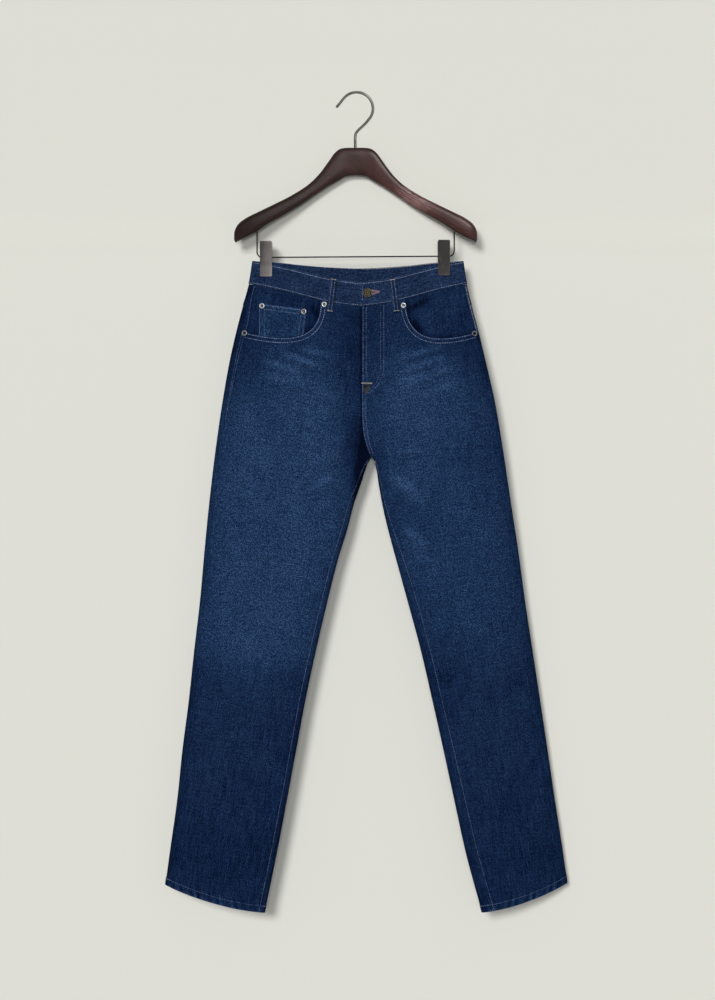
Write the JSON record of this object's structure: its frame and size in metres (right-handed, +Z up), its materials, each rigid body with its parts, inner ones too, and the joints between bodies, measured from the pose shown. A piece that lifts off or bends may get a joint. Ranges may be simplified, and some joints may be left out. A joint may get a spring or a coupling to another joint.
{
  "type": "straight leg jeans on a clip hanger",
  "caption": "Straight leg denim trousers hung flat by the waistband from an arched wooden hanger with a wire hook and spring clips.",
  "frame": {"origin": "inside the top of the hook, where a rail carries the hanger", "axes": "+Z up, the garment's front faces -Y, the wearer's right is at -X"},
  "size_m": [0.6664, 0.0563, 1.3532],
  "materials": {
    "denim": "indigo twill, washed",
    "denim_dark": "indigo twill, little worn",
    "rivet_metal": "worn nickel",
    "button_metal": "antique bronze",
    "walnut": "dark stain, satin lacquer",
    "hook_metal": "dull nickel wire",
    "clip_metal": "gunmetal, satin"
  },
  "bodies": {
    "root": {"front_right": "denim", "front_left": "denim", "back_right": "denim", "back_left": "denim", "yoke_right": "denim", "yoke_left": "denim", "waistband": "denim", "back_pocket_right": "denim", "back_pocket_left": "denim", "belt_loop_front_right": "denim", "belt_loop_front_left": "denim", "belt_loop_back_right": "denim", "belt_loop_back_left": "denim", "belt_loop_centre_back": "denim", "facing_right": "denim_dark", "facing_left": "denim_dark", "coin_pocket": "denim_dark", "rivet_mouth_inner_right": "rivet_metal", "rivet_mouth_outer_right": "rivet_metal", "rivet_coin_outer": "rivet_metal", "rivet_coin_inner": "rivet_metal", "rivet_mouth_inner_left": "rivet_metal", "rivet_mouth_outer_left": "rivet_metal", "button": "button_metal", "hanger_wood": "walnut", "hanger_hook": "hook_metal", "clip_spring_right": "hook_metal", "clip_spring_left": "hook_metal", "hanger_bar": "clip_metal", "clip_front_right": "clip_metal", "clip_back_right": "clip_metal", "clip_front_left": "clip_metal", "clip_back_left": "clip_metal"}
  },
  "joints": []
}
